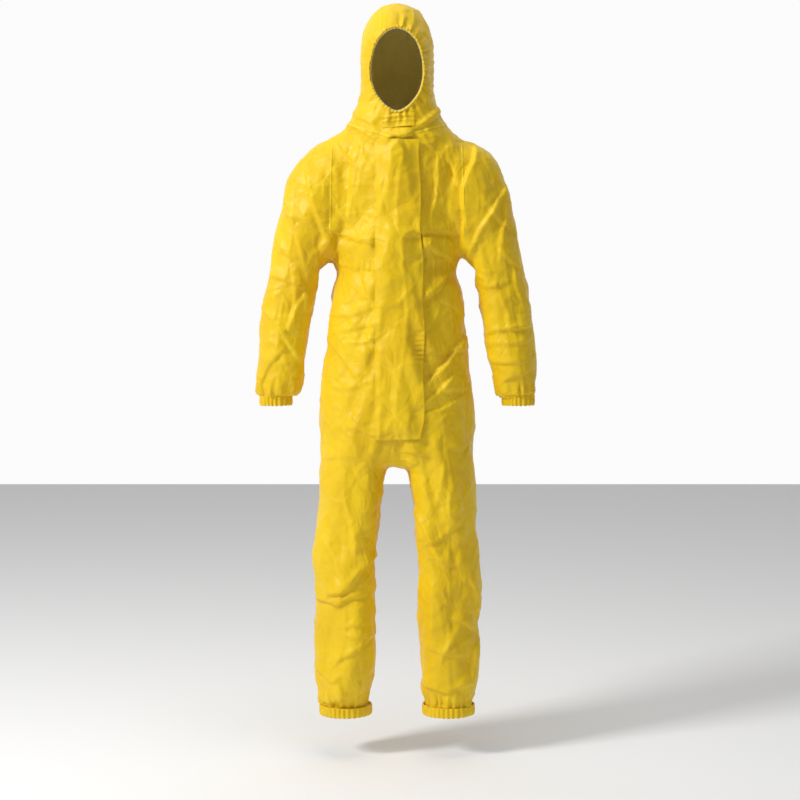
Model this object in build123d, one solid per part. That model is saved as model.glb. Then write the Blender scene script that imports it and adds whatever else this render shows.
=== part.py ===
from build123d import *
from math import cos, radians, sin
import os

# Hooded chemical protective coverall, standing in the shape it has when worn.
# Millimetres. +Z is up, the front faces -Y and the wearer's left is +X.
# The origin is the wearer's neck base: every height below is measured from it.

# ---- driving dimensions ----
WALL = 1.5                 # film laminate with its air layer, as one plain skin
SEAM_TAPE = 0.8            # thickness of a welded seam tape
FIT_GAP = 0.4              # clearance between skins on different bodies
HALF_DEPTH = 120.0         # straight front and back of the trunk
REACH = 2500.0             # longer than the suit: size of a cutting sector

# Sections of the trunk and of the hood: height, half width, half depth, centre in Y
TRUNK = [(42, 104, 84, 4), (25, 127, 93, 0), (5, 155, 106, -4), (-20, 170, 115, -5),
         (-60, 175, HALF_DEPTH, 0), (-120, 171, HALF_DEPTH, 0), (-240, 161, HALF_DEPTH, 0),
         (-330, 161, HALF_DEPTH, 0), (-420, 167, HALF_DEPTH, 0), (-520, 178, HALF_DEPTH, 0),
         (-620, 189, HALF_DEPTH, 0), (-700, 190, HALF_DEPTH, 0), (-785, 150, 98, 0)]
HOOD = [(-4, 132, 98, 0), (28, 119, 94, 0), (48, 106, 94, 0), (75, 93, 99, 0), (107, 86, 106, 2),
        (150, 87, 113, 2), (215, 88, 116, 2), (262, 78, 106, 2), (295, 57, 83, 2), (314, 34, 51, 2),
        (323, 8, 12, 2)]
# Sections of the left sleeve: centre X, centre Z, tilt from level, half width, half depth
SLEEVE = [(146, -106, 80, 116, 94), (170, -122, 66, 112, 93), (194, -152, 48, 96, 88),
          (226, -238, 18, 72, 76), (250, -320, 13, 64, 68), (260, -365, 10, 62, 64),
          (276, -470, 7, 60, 60), (284, -560, 5, 58, 56), (287, -592, 2, 52, 50), (289, -612, 0, 36, 36)]
# Sections of the left leg: centre X, centre Z, half width, half depth, centre in Y
LEG = [(100, -640, 88, 106, 0), (108, -790, 86, 104, 4), (118, -900, 80, 94, 2), (124, -1010, 77, 85, 0),
       (128, -1150, 76, 80, 4), (129, -1290, 72, 76, 6), (126, -1340, 68, 70, 6), (124, -1360, 60, 60, 6)]

# Pivots of the bending places, seen across the bend, and their creased side in degrees
NECK = (20.0, 15.0)
SHOULDER = (168.0, -62.0)
ELBOW = (-24.0, -365.0)
HIP = (-20.0, -690.0)
KNEE = (34.0, -1010.0)

# Elastic hems
WRIST_RADIUS, WRIST_LENGTH, WRIST_TOP = 34.0, 20.0, -612.0
WRIST_CENTRE = (289.0, 0.0)
ANKLE_RADIUS, ANKLE_LENGTH, ANKLE_TOP = 58.0, 18.0, -1360.0
ANKLE_CENTRE = (124.0, 6.0)
CASING_WALL, ELASTIC = 0.6, 0.8

# Front closure
ZIP_TOP, ZIP_BOTTOM = -28.0, -668.0        # the ends of the coil
ZIP_SLOT = 4.0                             # half width of the slot that the coil lies in
ZIP_TAPE_WIDTH, TOOTH_WIDTH = 14.0, 2.6
FLAP_LEFT, FLAP_RIGHT = -52.0, 62.0
FLAP_TOP, FLAP_BOTTOM = -8.0, -706.0
FLAP_LIFT, FLAP_WALL = 7.5, 1.2
STRIP_FROM_EDGE = (18.0, 4.0)              # the adhesive strip's two sides, from a flap's free edge

# Face opening of the hood: height and half width of its outline
FACE = [(249, 0), (240, 26), (214, 52), (172, 62), (127, 61), (87, 43), (62, 18), (54, 0)]
CROWN_HALF_WIDTH = 38.0                    # the hood's centre panel
CHIN_FLAP = (-34.0, 40.0, 20.0, 51.0)      # from X, to X, from Z, to Z

# Trims inside the trunk
SIDE_TAPE_HALF_WIDTH, SIDE_TAPE_SPAN = 11.0, (-640.0, -256.0)
WAIST_SPAN = (-318.0, -292.0)
LABEL_HALF_WIDTH, LABEL_SPAN = 28.0, (-62.0, -26.0)

parts = {}


def ellipse_at(origin, tilt, half_width, half_depth):
    """An ellipse whose normal leans from -Z towards +X by the tilt."""
    lean = radians(tilt)
    plane = Plane(origin=origin, x_dir=(cos(lean), 0, sin(lean)), z_dir=(sin(lean), 0, -cos(lean)))
    return plane * Ellipse(half_width, half_depth)


def trunk_like(sections, inset):
    rings = [ellipse_at((0, y, z), 0, a - inset, b - inset) for z, a, b, y in sections]
    return loft(Sketch() + rings, ruled=True)


def sleeve_body(inset):
    rings = [ellipse_at((x, 0, z), tilt, a - inset, b - inset) for x, z, tilt, a, b in SLEEVE]
    return loft(Sketch() + rings, ruled=True)


def leg_body(inset):
    rings = [ellipse_at((x, y, z), 0, a - inset, b - inset) for x, z, a, b, y in LEG]
    return loft(Sketch() + rings, ruled=True)


def hood_body(inset):
    """The hood's volume: the crown is lowered by the inset too."""
    sections = [(z - inset * (z > 300), a, b, y) for z, a, b, y in HOOD]
    return trunk_like(sections, inset)


def trunk_body(inset):
    """Trunk volume, closed over the crotch by a floor of the same thickness."""
    sections = [(z + inset * (z < -780), a, b, y) for z, a, b, y in TRUNK]
    return trunk_like(sections, inset)


def half_volume(inset):
    """The left half of the trunk with its sleeve and leg, inset from the outside."""
    left = slab(0, REACH, -REACH, REACH, -REACH, REACH)
    return (trunk_body(inset) & left) + sleeve_body(inset) + leg_body(inset)


def mirrored(shape):
    return mirror(shape, about=Plane.YZ)


def sector(pivot, start, stop, gap=0.0):
    """A wedge between two directions in degrees, its sides moved inwards by the gap."""
    middle, half = radians((start + stop) / 2), radians((stop - start) / 2)
    shift = gap / sin(half)
    tip = (pivot[0] + shift * cos(middle), pivot[1] + shift * sin(middle))
    steps = max(2, int((stop - start) // 50) + 1)
    turns = [radians(start + (stop - start) * i / steps) for i in range(steps + 1)]
    rim = [(tip[0] + REACH * cos(t), tip[1] + REACH * sin(t)) for t in turns]
    return [tip, *rim]


def prism(points, across):
    """A prism on an outline in the YZ plane (across X) or the XZ plane (across Y)."""
    if across == "X":
        plane = Plane(origin=(-REACH, 0, 0), x_dir=(0, 1, 0), z_dir=(1, 0, 0))
    else:
        plane = Plane(origin=(0, REACH, 0), x_dir=(1, 0, 0), z_dir=(0, -1, 0))
    return extrude(plane * make_face(Polyline(*points, close=True)), 2 * REACH)


def slab(x0, x1, y0, y1, z0, z1):
    return Pos((x0 + x1) / 2, (y0 + y1) / 2, (z0 + z1) / 2) * Box(x1 - x0, y1 - y0, z1 - z0)


def ring(centre, top, length, inner, outer):
    x, y = centre
    tube = Cylinder(outer, length) - Cylinder(inner, length)
    return Pos(x, y, top - length / 2) * tube


def keep(name, shape):
    """Keeps a sub-part's solids, without crumbs left by cutting."""
    solids = [s for s in shape.solids() if s.volume > 3.0]
    parts[name] = solids[0] if len(solids) == 1 else Compound(children=solids)


def keep_pair(left, right, shape):
    keep(left, shape)
    keep(right, mirrored(shape))


# ---- cutting regions ----
# Wedges round the pivots, from one direction to another in degrees: the rigid skin on either
# side of a bend, and the fold of skin between them that crumples.
TORSO_TOP = sector(NECK, 196, 352, FIT_GAP)
HOOD_SPACE = sector(NECK, 30, 180, FIT_GAP)
HIP_TRUNK = sector(HIP, -20, 160, FIT_GAP)
HIP_THIGH = sector(HIP, 238, 326, FIT_GAP)
HIP_FRONT = sector(HIP, 160, 238, FIT_GAP)
KNEE_THIGH = sector(KNEE, 54, 179, FIT_GAP)
KNEE_SHIN = sector(KNEE, 181, 306, FIT_GAP)
KNEE_BACK = sector(KNEE, -54, 54, FIT_GAP)
ELBOW_UPPER = sector(ELBOW, 1, 126, FIT_GAP)
ELBOW_LOWER = sector(ELBOW, 234, 359, FIT_GAP)
ELBOW_FRONT = sector(ELBOW, 126, 234, FIT_GAP)
LEG_INNER = 22.0


def armhole_path(gap):
    """The line between trunk and left sleeve, from the shoulder pivot down past the waist."""
    return [(158.5 + gap, -236), (162 + gap, -250), (208 + gap, -700), (208 + gap, -REACH)]


def beyond_armhole(first, ray, gap):
    """The region outside the left armhole path and under a ray from the shoulder pivot."""
    lean = radians(ray)
    top = (SHOULDER[0] + REACH * cos(lean), SHOULDER[1] + REACH * sin(lean))
    return prism([first, *armhole_path(gap), (REACH, -REACH), (REACH, top[1]), top], "Y")


# ---- volumes that the sub-parts are cut from ----
half_skin = half_volume(0) - half_volume(WALL)
trunk_lining = trunk_body(WALL) - trunk_body(WALL + SEAM_TAPE)
hood_skin = hood_body(0) - hood_body(WALL)

arm_cutter = beyond_armhole(SHOULDER, 132, 0.0)
over_hips = prism(HIP_TRUNK, "X")
half_trunk = (half_skin & prism(TORSO_TOP, "X")) - arm_cutter
leg_skin = half_skin - over_hips - slab(-REACH, LEG_INNER, -REACH, REACH, -REACH, REACH)


def trunk_panels():
    """Two front panels split by the zip, the back panel, and the gusset at the crotch."""
    back = slab(-REACH, REACH, 0, REACH, -REACH, REACH)
    upper = half_trunk & over_hips
    zip_slot = slab(-ZIP_SLOT, ZIP_SLOT, -REACH, 0, ZIP_BOTTOM - 6, REACH)
    keep_pair("front_left_panel", "front_right_panel", upper - back - zip_slot)
    back_half = upper & back
    keep("back_panel", back_half + mirrored(back_half))
    floor_half = (half_trunk - over_hips) & slab(0, LEG_INNER - 2, -REACH, REACH, -REACH, REACH)
    keep("crotch_gusset", floor_half + mirrored(floor_half) - zip_slot)


def seam_tapes():
    """Welded tapes over the side seams, inside the trunk."""
    half = SIDE_TAPE_HALF_WIDTH
    tape = trunk_lining & slab(120, REACH, -half, half, *SIDE_TAPE_SPAN)
    keep_pair("side_seam_tape_left", "side_seam_tape_right", tape)


def waist_band():
    """Waist elastic welded to the inside of the back and sides, in a casing strip."""
    span = slab(-REACH, REACH, 14, REACH, *WAIST_SPAN)
    keep("waist_elastic", trunk_lining & span)


def neck_label():
    plate = slab(-LABEL_HALF_WIDTH, LABEL_HALF_WIDTH, 0, REACH, *LABEL_SPAN)
    keep("neck_label", trunk_lining & plate)


def zip_parts():
    """Coil zip on the straight front line: tapes behind the panels, teeth in their slot."""
    face = -HALF_DEPTH
    tape = trunk_lining & slab(0.8, 0.8 + ZIP_TAPE_WIDTH, -REACH, 0, ZIP_BOTTOM - 20, ZIP_TOP + 4)
    keep_pair("zip_tape_left", "zip_tape_right", tape)
    teeth = slab(0.2, 0.2 + TOOTH_WIDTH, face - 0.9, face + 1.2, ZIP_BOTTOM, ZIP_TOP)
    keep_pair("zip_teeth_left", "zip_teeth_right", teeth)
    keep("zip_bottom_stop", slab(-3.2, 3.2, face - 1.2, face + 1.2, ZIP_BOTTOM - 5, ZIP_BOTTOM - 0.2))


def zip_slider():
    """A slider plate astride the teeth with side rails and a lug, and its pull on a pin."""
    top, front = ZIP_TOP - 2, -HALF_DEPTH - 3
    plate = slab(-4.2, 4.2, front, front + 1.2, top - 12, top)
    rail = slab(3.1, 3.8, front, front + 2.8, top - 12, top)
    lug = slab(1.6, 2.6, front - 2, front, top - 5.6, top - 2.6)
    eye = Pos(0, front - 1.1, top - 4.1) * Rot(0, 90, 0)
    pin = eye * Cylinder(0.45, 4.2)
    keep("zip_slider", plate + rail + mirrored(rail) + lug + mirrored(lug) + pin)
    tab = slab(-1.3, 1.3, front - 1.6, front - 0.5, top - 10, top - 4.1)
    grip = slab(-3.5, 3.5, front - 1.6, front - 0.5, top - 34, top - 9)
    keep("zip_pull", tab + grip + eye * Cylinder(1.0, 2.6) - eye * Cylinder(0.55, 3.0))


def storm_flap():
    """One long flap welded along its right edge, with an adhesive strip near its free edge."""
    outside = trunk_body(-FLAP_LIFT) - trunk_body(-FLAP_LIFT + FLAP_WALL)
    keep("storm_flap", outside & slab(FLAP_LEFT, FLAP_RIGHT, -REACH, 0, FLAP_BOTTOM, FLAP_TOP))
    under = trunk_body(-FLAP_LIFT + FLAP_WALL + 0.1) - trunk_body(-FLAP_LIFT + FLAP_WALL + 0.7)
    near, far = (FLAP_RIGHT - distance for distance in STRIP_FROM_EDGE)
    keep("flap_adhesive_strip", under & slab(near, far, -REACH, 0, FLAP_BOTTOM + 66, FLAP_TOP - 6))


def face_prism(grow):
    side = [(half + grow, z + grow * (z > 200) - grow * (z < 100)) for z, half in FACE]
    top, bottom = (0, FACE[0][0] + grow), (0, FACE[-1][0] - grow)
    right = Spline(top, *side[1:-1], bottom, tangents=[(1, 0), (-1, 0)])
    outline = right + mirror(right, about=Plane.YZ)
    plane = Plane(origin=(0, -30, 0), x_dir=(1, 0, 0), z_dir=(0, -1, 0))
    return extrude(plane * make_face(outline), 200)


def hood_parts():
    """Centre panel over the crown, two side panels, face casing and the elastic inside it."""
    above = prism(HOOD_SPACE, "X")
    open_skin = (hood_skin & above) - face_prism(0)
    half = CROWN_HALF_WIDTH
    crown = slab(-half, half, -REACH, REACH, 130, REACH) + slab(-half, half, 0, REACH, -REACH, REACH)
    keep("hood_centre_panel", open_skin & crown)
    side_panel = (open_skin - crown) & slab(0.05, REACH, -REACH, REACH, -REACH, REACH)
    keep_pair("hood_left_panel", "hood_right_panel", side_panel)
    lining = hood_body(WALL) - hood_body(WALL + SEAM_TAPE)
    keep("hood_face_casing", lining & (face_prism(13) - face_prism(0)) & above)
    elastic = hood_body(WALL + SEAM_TAPE) - hood_body(WALL + 2 * SEAM_TAPE)
    keep("hood_face_elastic", elastic & (face_prism(9) - face_prism(2)) & above)


def neck_folds():
    """The ring of fabric between trunk and hood, which crumples as the hood tilts."""
    neck = hood_body(0) + trunk_body(0) - (hood_body(WALL) + trunk_body(WALL))
    collar = (neck & slab(-140, 140, -REACH, REACH, -30, 80)) - arm_cutter - mirrored(arm_cutter)
    keep("neck_fold_front", collar & prism(sector(NECK, 180, 196, FIT_GAP), "X"))
    keep("neck_fold_back", collar & prism(sector(NECK, -8, 30, FIT_GAP), "X"))


def chin_flap():
    """Small flap over the top of the closure, with its adhesive patch."""
    x0, x1, z0, z1 = CHIN_FLAP
    cover = hood_body(-3.2) - hood_body(-2.0)
    keep("chin_flap", cover & slab(x0, x1, -REACH, 0, z0, z1))
    patch = hood_body(-1.9) - hood_body(-1.2)
    near, far = (x1 - distance for distance in STRIP_FROM_EDGE)
    keep("chin_flap_tape", patch & slab(near, far, -REACH, 0, z0 + 6, z1 - 6))


def casing_and_elastic(hem, centre, top, length, radius):
    """A folded hem as a closed casing, with the elastic band running inside it."""
    inner_gap = radius + CASING_WALL
    outer_gap = inner_gap + ELASTIC + 0.4
    casing = ring(centre, top, length, radius, outer_gap + CASING_WALL)
    casing -= ring(centre, top - 2, length - 4, inner_gap, outer_gap)
    band = ring(centre, top - 2.4, length - 4.8, inner_gap + 0.2, outer_gap - 0.2)
    keep_pair(f"left_{hem}_hem", f"right_{hem}_hem", casing)
    keep_pair(f"left_{hem}_elastic", f"right_{hem}_elastic", band)


def sleeves():
    """Upper sleeve, elbow fold and forearm down to the wrist hem, and the shoulder's fold."""
    skin = half_skin & beyond_armhole((SHOULDER[0] + FIT_GAP, SHOULDER[1] - FIT_GAP), 48, FIT_GAP)
    forearm = skin & prism(ELBOW_LOWER, "X")
    keep_pair("left_upper_sleeve", "right_upper_sleeve", skin & prism(ELBOW_UPPER, "X"))
    keep_pair("left_forearm_sleeve", "right_forearm_sleeve", forearm)
    keep_pair("left_elbow_fold", "right_elbow_fold", skin & prism(ELBOW_FRONT, "X"))
    crown = half_skin & prism(TORSO_TOP, "X") & prism(sector(SHOULDER, 48, 132, FIT_GAP), "Y")
    keep_pair("left_shoulder_fold", "right_shoulder_fold", crown)
    casing_and_elastic("wrist", WRIST_CENTRE, WRIST_TOP, WRIST_LENGTH, WRIST_RADIUS)


def legs():
    """Thigh, knee fold and shin down to the ankle hem, and the fold at the front of the hip."""
    arm_free = leg_skin & slab(0, 207.5, -REACH, REACH, -REACH, -600)
    limb = arm_free & prism(HIP_THIGH, "X")
    keep_pair("left_thigh", "right_thigh", limb & prism(KNEE_THIGH, "X"))
    keep_pair("left_shin", "right_shin", limb & prism(KNEE_SHIN, "X"))
    keep_pair("left_knee_fold", "right_knee_fold", limb & prism(KNEE_BACK, "X"))
    keep_pair("left_hip_fold", "right_hip_fold", arm_free & prism(HIP_FRONT, "X"))
    casing_and_elastic("ankle", ANKLE_CENTRE, ANKLE_TOP, ANKLE_LENGTH, ANKLE_RADIUS)


trunk_panels()
seam_tapes()
waist_band()
neck_label()
zip_parts()
zip_slider()
storm_flap()
hood_parts()
neck_folds()
chin_flap()
sleeves()
legs()

os.makedirs("parts", exist_ok=True)
for node, shape in parts.items():
    export_step(shape, f"parts/{node}.step")
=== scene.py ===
import math

import bmesh
import bpy
import numpy as np
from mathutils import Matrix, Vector
from mathutils.bvhtree import BVHTree
from mathutils.kdtree import KDTree


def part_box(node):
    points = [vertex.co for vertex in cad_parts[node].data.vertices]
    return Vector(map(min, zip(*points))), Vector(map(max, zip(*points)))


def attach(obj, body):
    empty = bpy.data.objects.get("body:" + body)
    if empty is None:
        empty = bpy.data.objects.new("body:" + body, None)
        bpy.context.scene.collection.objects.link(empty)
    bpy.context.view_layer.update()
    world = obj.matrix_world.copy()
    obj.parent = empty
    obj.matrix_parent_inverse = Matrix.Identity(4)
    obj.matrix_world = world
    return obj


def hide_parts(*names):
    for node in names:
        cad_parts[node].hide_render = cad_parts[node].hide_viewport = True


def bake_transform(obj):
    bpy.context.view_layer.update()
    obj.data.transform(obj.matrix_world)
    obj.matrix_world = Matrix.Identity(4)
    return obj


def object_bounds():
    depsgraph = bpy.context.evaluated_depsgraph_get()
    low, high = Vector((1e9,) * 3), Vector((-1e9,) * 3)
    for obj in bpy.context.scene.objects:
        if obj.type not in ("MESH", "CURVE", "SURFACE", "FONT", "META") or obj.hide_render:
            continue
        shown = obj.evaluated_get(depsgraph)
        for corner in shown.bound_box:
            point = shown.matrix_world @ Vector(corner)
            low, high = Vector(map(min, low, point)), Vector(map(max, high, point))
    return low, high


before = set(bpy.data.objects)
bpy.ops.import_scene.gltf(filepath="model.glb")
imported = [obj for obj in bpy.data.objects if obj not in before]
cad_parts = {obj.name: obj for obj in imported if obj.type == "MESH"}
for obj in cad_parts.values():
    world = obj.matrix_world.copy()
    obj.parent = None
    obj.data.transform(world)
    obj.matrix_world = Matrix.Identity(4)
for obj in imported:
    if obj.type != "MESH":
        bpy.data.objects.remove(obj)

CAD_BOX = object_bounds()

# A hooded chemical protective coverall in the shape it has when worn. Metres, +Z up, the front
# faces -Y, the wearer's left is +X and the origin is the wearer's neck base.

# ---------------------------------------------------------------- outline of the garment
# Trunk and hood: height, half width, half depth, centre in Y
TRUNK = [(0.042, 0.104, 0.084, 0.004), (0.025, 0.127, 0.093, 0.0), (0.005, 0.153, 0.104, -0.003),
         (-0.020, 0.168, 0.113, -0.003), (-0.060, 0.173, 0.118, 0.0), (-0.120, 0.170, 0.119, 0.0),
         (-0.240, 0.157, 0.119, 0.0), (-0.290, 0.152, 0.117, 0.0), (-0.345, 0.160, 0.118, 0.0),
         (-0.430, 0.170, 0.119, 0.0), (-0.520, 0.180, 0.119, 0.0), (-0.620, 0.189, 0.119, 0.0),
         (-0.690, 0.189, 0.119, 0.0), (-0.757, 0.150, 0.100, 0.0)]
HOOD = [(-0.004, 0.130, 0.098, 0.0), (0.028, 0.118, 0.094, 0.0), (0.048, 0.106, 0.095, 0.0),
        (0.075, 0.093, 0.099, 0.0), (0.107, 0.086, 0.106, 0.002), (0.150, 0.087, 0.112, 0.002),
        (0.210, 0.088, 0.115, 0.002), (0.254, 0.079, 0.106, 0.002), (0.286, 0.060, 0.085, 0.002),
        (0.305, 0.037, 0.054, 0.002), (0.313, 0.010, 0.016, 0.002)]
# Left sleeve: centre X, centre Z, tilt from level in degrees, half width, half depth
SLEEVE = [(0.140, -0.104, 82, 0.114, 0.092), (0.168, -0.120, 66, 0.110, 0.092),
          (0.194, -0.152, 48, 0.094, 0.087), (0.227, -0.238, 18, 0.068, 0.076),
          (0.251, -0.320, 13, 0.060, 0.068), (0.260, -0.365, 10, 0.061, 0.064),
          (0.276, -0.470, 7, 0.059, 0.060), (0.284, -0.560, 5, 0.058, 0.058), (0.287, -0.594, 2, 0.052, 0.052),
          (0.289, -0.612, 0, 0.037, 0.037), (0.289, -0.640, 0, 0.037, 0.037)]
# Left leg: centre X, centre Z, half width, half depth, centre in Y
LEG = [(0.100, -0.640, 0.086, 0.104, 0.0), (0.108, -0.790, 0.085, 0.103, 0.004),
       (0.118, -0.900, 0.080, 0.094, 0.002), (0.124, -1.010, 0.077, 0.086, 0.0),
       (0.128, -1.150, 0.076, 0.081, 0.004), (0.129, -1.290, 0.073, 0.077, 0.006),
       (0.126, -1.340, 0.068, 0.070, 0.006), (0.124, -1.362, 0.061, 0.061, 0.006),
       (0.124, -1.395, 0.061, 0.061, 0.006)]
# Right half of the face opening: height and half width
FACE = [(0.249, 0.0), (0.242, 0.022), (0.222, 0.044), (0.197, 0.056), (0.167, 0.062), (0.132, 0.0615),
        (0.100, 0.052), (0.074, 0.034), (0.059, 0.015), (0.054, 0.0)]
FACE_MIDDLE = 0.152

VOXEL = 0.0085
SEED = 7
WRIST_TOP, WRIST_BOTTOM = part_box("left_wrist_hem")[1][2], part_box("left_wrist_hem")[0][2]
ANKLE_TOP, ANKLE_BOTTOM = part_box("left_ankle_hem")[1][2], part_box("left_ankle_hem")[0][2]
WRIST_X, ANKLE_X, ANKLE_Y = 0.289, 0.124, 0.006
ZIP_BOTTOM, ZIP_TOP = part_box("zip_teeth_left")[0][2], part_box("zip_teeth_left")[1][2]
FLAP_LOW, FLAP_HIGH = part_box("storm_flap")
CHIN_LOW, CHIN_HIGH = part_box("chin_flap")
FLOOR_Z = ANKLE_BOTTOM - 0.10


# ---------------------------------------------------------------- small helpers
def smooth_step(x, low, high):
    t = np.clip((x - low) / (high - low), 0.0, 1.0)
    return t * t * (3.0 - 2.0 * t)


def bell(x, centre, width):
    return np.exp(-((x - centre) / width) ** 2)


def refined(rows, steps=6):
    """Catmull-Rom points between the rows of an outline table."""
    rows = np.array(rows, float)
    padded = np.vstack([2 * rows[0] - rows[1], rows, 2 * rows[-1] - rows[-2]])
    out = []
    for p0, p1, p2, p3 in zip(padded, padded[1:], padded[2:], padded[3:]):
        for t in np.arange(steps) / steps:
            out.append(0.5 * (2 * p1 + (p2 - p0) * t + (2 * p0 - 5 * p1 + 4 * p2 - p3) * t * t
                              + (3 * p1 - p0 - 3 * p2 + p3) * t ** 3))
    out.append(rows[-1])
    return np.array(out)


def new_object(name, verts, faces, material=None):
    mesh = bpy.data.meshes.new(name)
    mesh.from_pydata([tuple(map(float, v)) for v in verts], [], [tuple(map(int, f)) for f in faces])
    mesh.update()
    obj = bpy.data.objects.new(name, mesh)
    bpy.context.collection.objects.link(obj)
    if material:
        mesh.materials.append(material)
    return obj


def coords(obj):
    flat = np.empty(len(obj.data.vertices) * 3)
    obj.data.vertices.foreach_get("co", flat)
    return flat.reshape(-1, 3)


def set_coords(obj, points):
    obj.data.vertices.foreach_set("co", np.ascontiguousarray(points, float).ravel())
    obj.data.update()


def normals(obj):
    flat = np.empty(len(obj.data.vertices) * 3)
    obj.data.vertices.foreach_get("normal", flat)
    return flat.reshape(-1, 3)


def bake_modifiers(obj):
    """Applies the object's modifiers, so none is left on it."""
    graph = bpy.context.evaluated_depsgraph_get()
    mesh = bpy.data.meshes.new_from_object(obj.evaluated_get(graph))
    obj.modifiers.clear()
    old = obj.data
    obj.data = mesh
    bpy.data.meshes.remove(old)


def shade_smooth(obj):
    obj.data.polygons.foreach_set("use_smooth", [True] * len(obj.data.polygons))


# ---------------------------------------------------------------- base shape
def loft(rings, segments=56):
    """A closed tube through rings of (centre, side direction, half width, half depth)."""
    turn = np.arange(segments) * 2 * math.pi / segments
    verts, faces = [], []
    for centre, side, a, b in rings:
        centre, side = np.array(centre), np.array(side)
        verts += [centre + side * a * math.cos(t) + np.array((0, 1, 0)) * b * math.sin(t) for t in turn]
    for r in range(len(rings) - 1):
        for i in range(segments):
            j = (i + 1) % segments
            faces.append((r * segments + i, r * segments + j, (r + 1) * segments + j, (r + 1) * segments + i))
    faces.append(tuple(range(segments))[::-1])
    faces.append(tuple(range((len(rings) - 1) * segments, len(rings) * segments)))
    return verts, faces


def upright(rows, inset):
    return [((0, y, z), (1, 0, 0), max(a - inset, 0.004), max(b - inset, 0.004))
            for z, a, b, y in refined(rows)]


def sleeve_rings(side, inset):
    rings = []
    for x, z, tilt, a, b in refined(SLEEVE):
        lean = math.radians(tilt)
        rings.append(((side * x, 0, z), (math.cos(lean), 0, side * math.sin(lean)), a - inset, b - inset))
    return rings


def leg_rings(side, inset):
    return [((side * x, y, z), (1, 0, 0), a - inset, b - inset) for x, z, a, b, y in refined(LEG)]


def union_mesh(name, insets, voxel):
    """One closed skin around trunk, hood, sleeves and legs."""
    trunk, hood, sleeve, leg = insets
    tubes = [upright(TRUNK, trunk), upright(HOOD, hood)]
    for side in (1, -1):
        tubes += [sleeve_rings(side, sleeve), leg_rings(side, leg)]
    verts, faces = [], []
    for rings in tubes:
        v, f = loft(rings)
        faces += [tuple(i + len(verts) for i in face) for face in f]
        verts += v
    obj = new_object(name, verts, faces)
    tool = obj.modifiers.new("remesh", "REMESH")
    tool.mode, tool.voxel_size, tool.adaptivity = "VOXEL", voxel, 0.0
    soft = obj.modifiers.new("smooth", "SMOOTH")
    soft.factor, soft.iterations = 0.5, 6
    bake_modifiers(obj)
    return obj


def face_half_width(z):
    """Half width of the face opening at a height, and 0 outside it."""
    table = np.array(sorted(FACE))
    return np.interp(z, table[:, 0], table[:, 1], left=0.0, right=0.0)


def face_outline(count=120):
    rows = refined(FACE, 8)
    right = np.column_stack([rows[:, 1], rows[:, 0]])
    loop = np.vstack([right, right[-2:0:-1] * (-1, 1)])
    step = np.linalg.norm(np.roll(loop, -1, 0) - loop, axis=1)
    along = np.concatenate([[0], np.cumsum(step)])
    wanted = np.arange(count) / count * along[-1]
    closed = np.vstack([loop, loop[:1]])
    return np.column_stack([np.interp(wanted, along, closed[:, 0]), np.interp(wanted, along, closed[:, 1])])


def cut_openings(obj):
    """Opens the face, the wrists and the ankles, and evens out the edge of the face opening."""
    mesh = bmesh.new()
    mesh.from_mesh(obj.data)
    for level, near in ((WRIST_TOP, lambda c: abs(c.x) > 0.22), (ANKLE_TOP, lambda c: c.z < -1.2)):
        around = [f for f in mesh.faces if near(f.calc_center_median())]
        geometry = list({e for f in around for e in f.edges} | {v for f in around for v in f.verts}) + around
        bmesh.ops.bisect_plane(mesh, geom=geometry, plane_co=(0, 0, level), plane_no=(0, 0, 1))
        gone = [f for f in mesh.faces if near(f.calc_center_median()) and f.calc_center_median().z < level]
        bmesh.ops.delete(mesh, geom=gone, context="FACES")
    inside = []
    for f in mesh.faces:
        c = f.calc_center_median()
        if c.y < -0.02 and abs(c.x) < face_half_width(c.z):
            inside.append(f)
    bmesh.ops.delete(mesh, geom=inside, context="FACES")
    outline = face_outline(400)
    edge = [v for v in mesh.verts if v.is_boundary and v.co.y < -0.02 and v.co.z > 0.04]
    for v in edge:
        gap = outline - np.array((v.co.x, v.co.z))
        near = outline[np.argmin((gap ** 2).sum(1))]
        v.co.x, v.co.z = near
    ring = [v for v in mesh.verts if not v.is_boundary and v.co.y < 0.0
            and any(o.is_boundary and o.co.z > 0.04 for e in v.link_edges for o in (e.other_vert(v),))]
    bmesh.ops.smooth_vert(mesh, verts=ring, factor=0.5, use_axis_x=True, use_axis_y=True, use_axis_z=True)
    mesh.normal_update()
    mesh.to_mesh(obj.data)
    mesh.free()


def facets(p, scale, seed, stretch=(1.0, 1.0, 1.0)):
    """Half the gap between the nearest two of many scattered seeds: flat facets between creases."""
    rng = np.random.default_rng(seed)
    spread = p * np.array(stretch) / scale
    low, high = spread.min(0) - 1.0, spread.max(0) + 1.0
    ranges = [np.arange(a, b) for a, b in zip(low, high)]
    cells = np.stack(np.meshgrid(*ranges, indexing="ij"), -1).reshape(-1, 3)
    seeds = cells + rng.uniform(0, 1, cells.shape)
    tree = KDTree(len(seeds))
    for index, place in enumerate(seeds):
        tree.insert(place, index)
    tree.balance()
    gaps = np.empty(len(p))
    for index, place in enumerate(spread):
        (_, _, first), (_, _, second) = tree.find_n(place, 2)
        gaps[index] = second - first
    return gaps * scale * 0.5


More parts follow.
